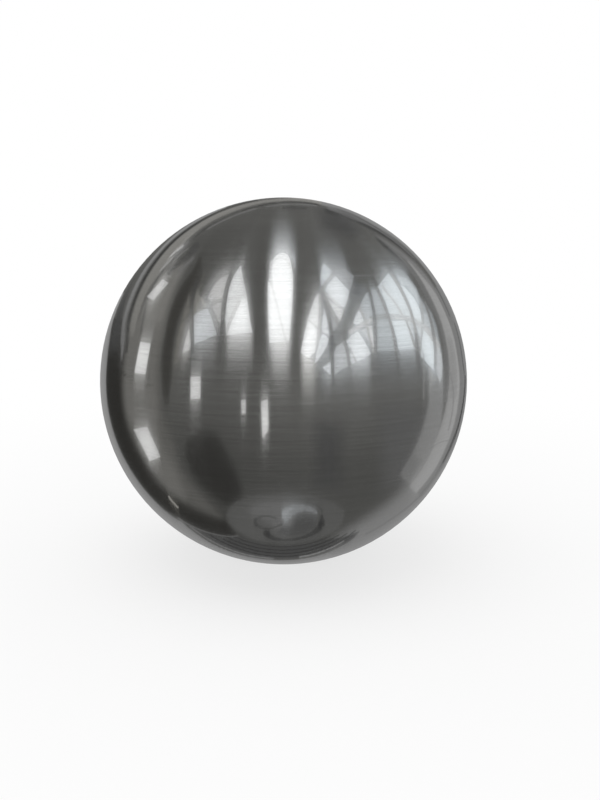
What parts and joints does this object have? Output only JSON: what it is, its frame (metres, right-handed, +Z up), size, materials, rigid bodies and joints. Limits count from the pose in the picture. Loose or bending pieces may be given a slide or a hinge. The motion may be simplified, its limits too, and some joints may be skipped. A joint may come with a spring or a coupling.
{
  "type": "steel ball",
  "caption": "Solid one-piece steel ball, a true sphere with a satin finish brushed in fine lines round one axis.",
  "frame": {"origin": "centre of the ball", "axes": "+Z up along the axis that the finish is brushed round; +X and +Y are free, because the ball is round"},
  "size_m": [0.05, 0.05, 0.05],
  "materials": {
    "brushed_steel": "satin, brushed in fine lines round the Z axis"
  },
  "bodies": {
    "root": {"ball": "brushed_steel"}
  },
  "joints": []
}
